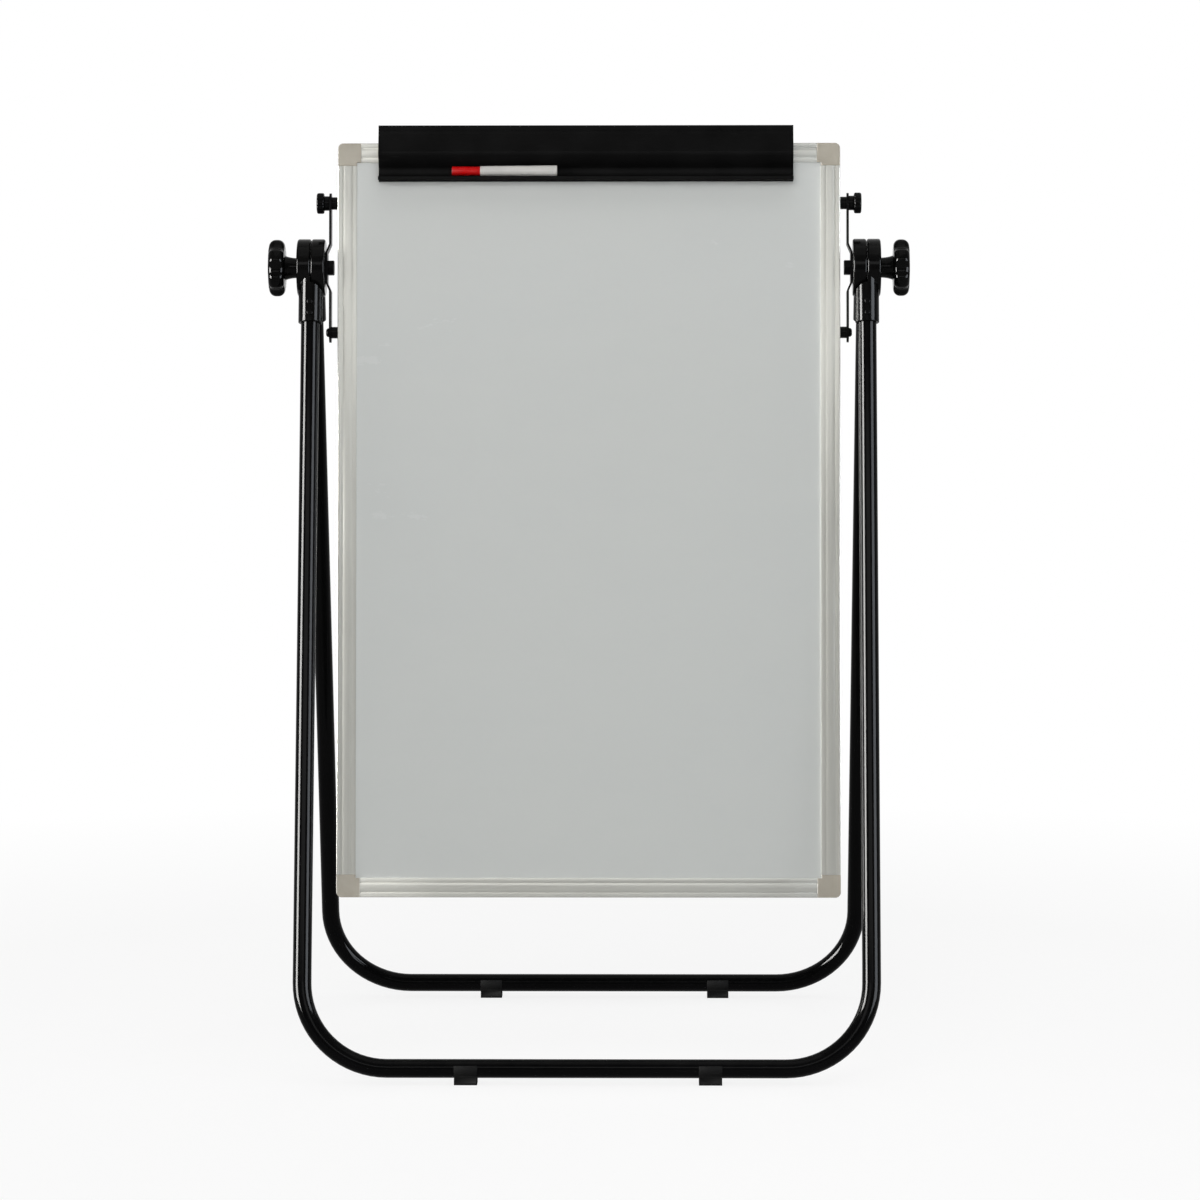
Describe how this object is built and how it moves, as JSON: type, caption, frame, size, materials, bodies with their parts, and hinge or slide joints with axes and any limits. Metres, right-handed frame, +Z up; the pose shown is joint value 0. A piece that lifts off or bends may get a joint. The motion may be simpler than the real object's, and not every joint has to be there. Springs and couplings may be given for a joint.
{
  "type": "whiteboard easel",
  "caption": "Portrait whiteboard in an aluminium frame, tilting on straps between two folding black U-shaped tube stands, with a sprung paper clip, pen ledge and marker pen.",
  "frame": {"origin": "on the floor under the hub axis, midway between the four feet", "axes": "+X to the viewer's right along the hub axis, +Y away from the viewer, +Z up"},
  "size_m": [0.7646, 0.5746, 1.1047],
  "materials": {
    "stand_paint": "gloss black paint",
    "hub_plastic": "glossy moulded black plastic",
    "black_steel": "satin black finish",
    "foot_rubber": "matt black rubber",
    "spacer_plastic": "matt black plastic",
    "plated_steel": "zinc-plated steel",
    "insert_brass": "turned brass",
    "rail_aluminium": "satin anodised with fine drawing lines",
    "cap_plastic": "satin warm grey plastic",
    "writing_surface": "smooth glossy light grey lacquer",
    "core_board": "plain fibreboard",
    "clip_plastic": "satin black",
    "grip_rubber": "soft black rubber",
    "marker_white": "glossy white plastic",
    "marker_red": "glossy red plastic",
    "marker_felt": "felt soaked with red ink"
  },
  "bodies": {
    "front_stand": {"front_leg_tube": "stand_paint", "front_socket_left": "hub_plastic", "front_socket_right": "hub_plastic", "front_socket_screws": "black_steel", "front_foot_left": "foot_rubber", "front_foot_right": "foot_rubber"},
    "rear_stand": {"rear_leg_tube": "stand_paint", "rear_socket_left": "hub_plastic", "rear_socket_right": "hub_plastic", "rear_socket_screws": "black_steel", "rear_foot_left": "foot_rubber", "rear_foot_right": "foot_rubber"},
    "tilt_brackets": {"strap_left": "black_steel", "strap_right": "black_steel", "pivot_bolt_left": "black_steel", "pivot_bolt_right": "black_steel", "upper_spacers": "spacer_plastic", "lower_spacers": "spacer_plastic", "lower_strap_screws": "black_steel", "rail_nuts": "plated_steel"},
    "board": {"board_core": "core_board", "front_writing_sheet": "writing_surface", "rear_writing_sheet": "writing_surface", "rail_top": "rail_aluminium", "rail_bottom": "rail_aluminium", "rail_left": "rail_aluminium", "rail_right": "rail_aluminium", "corner_cap_top_left": "cap_plastic", "corner_cap_top_right": "cap_plastic", "corner_cap_bottom_left": "cap_plastic", "corner_cap_bottom_right": "cap_plastic", "corner_screws": "plated_steel", "clip_bracket_left": "plated_steel", "clip_bracket_right": "plated_steel", "clip_bracket_screws": "plated_steel", "clip_hinge_pins": "plated_steel", "clip_springs": "plated_steel"},
    "clip": {"clip_bar": "clip_plastic", "clip_grip_strip": "grip_rubber"},
    "marker": {"marker_barrel": "marker_white", "marker_nib": "marker_felt", "marker_reservoir": "marker_felt", "marker_end_plug": "marker_white"},
    "marker_cap": {"marker_cap": "marker_red"},
    "clamp_knob_left": {"clamp_knob_left": "hub_plastic", "clamp_insert_left": "insert_brass"},
    "clamp_knob_right": {"clamp_knob_right": "hub_plastic", "clamp_insert_right": "insert_brass"},
    "thumb_knob_left": {"thumb_knob_left": "hub_plastic", "thumb_stud_left": "plated_steel"},
    "thumb_knob_right": {"thumb_knob_right": "hub_plastic", "thumb_stud_right": "plated_steel"}
  },
  "joints": [
    {"name": "rear_stand_fold", "type": "hinge", "parent": "front_stand", "child": "rear_stand", "pos_m": [0, 0, 0.935], "axis": [-1, 0, 0], "range_deg": [0, 31.6]},
    {"name": "board_tilt", "type": "hinge", "parent": "front_stand", "child": "tilt_brackets", "pos_m": [0, 0, 0.935], "axis": [1, 0, 0], "range_deg": [-123, 139]},
    {"name": "board_height", "type": "slide", "parent": "tilt_brackets", "child": "board", "axis": [0, 0.1392, 0.9903], "range_m": [-0.033, 0.636]},
    {"name": "clip_open", "type": "hinge", "parent": "board", "child": "clip", "pos_m": [0, 0.00259, 1.07197], "axis": [-1, 0, 0], "range_deg": [0, 25], "stiffness_Nm_per_rad": 1.2, "springref_deg": -20.05, "deforming": ["clip_springs"]},
    {"name": "marker_lift", "type": "slide", "parent": "clip", "child": "marker", "axis": [0, -0.7071, 0.7071], "range_m": [0, 0.1]},
    {"name": "marker_cap_pull", "type": "slide", "parent": "marker", "child": "marker_cap", "axis": [-1, 0, 0], "range_m": [0, 0.05]},
    {"name": "clamp_knob_left_turn", "type": "hinge", "parent": "tilt_brackets", "child": "clamp_knob_left", "pos_m": [-0.35, 0, 0.935], "axis": [1, 0, 0], "continuous": true},
    {"name": "thumb_knob_left_turn", "type": "hinge", "parent": "tilt_brackets", "child": "thumb_knob_left", "pos_m": [-0.35, 0.01079, 1.01175], "axis": [1, 0, 0], "continuous": true},
    {"name": "clamp_knob_right_turn", "type": "hinge", "parent": "tilt_brackets", "child": "clamp_knob_right", "pos_m": [0.35, 0, 0.935], "axis": [1, 0, 0], "continuous": true},
    {"name": "thumb_knob_right_turn", "type": "hinge", "parent": "tilt_brackets", "child": "thumb_knob_right", "pos_m": [0.35, 0.01079, 1.01175], "axis": [1, 0, 0], "continuous": true}
  ]
}
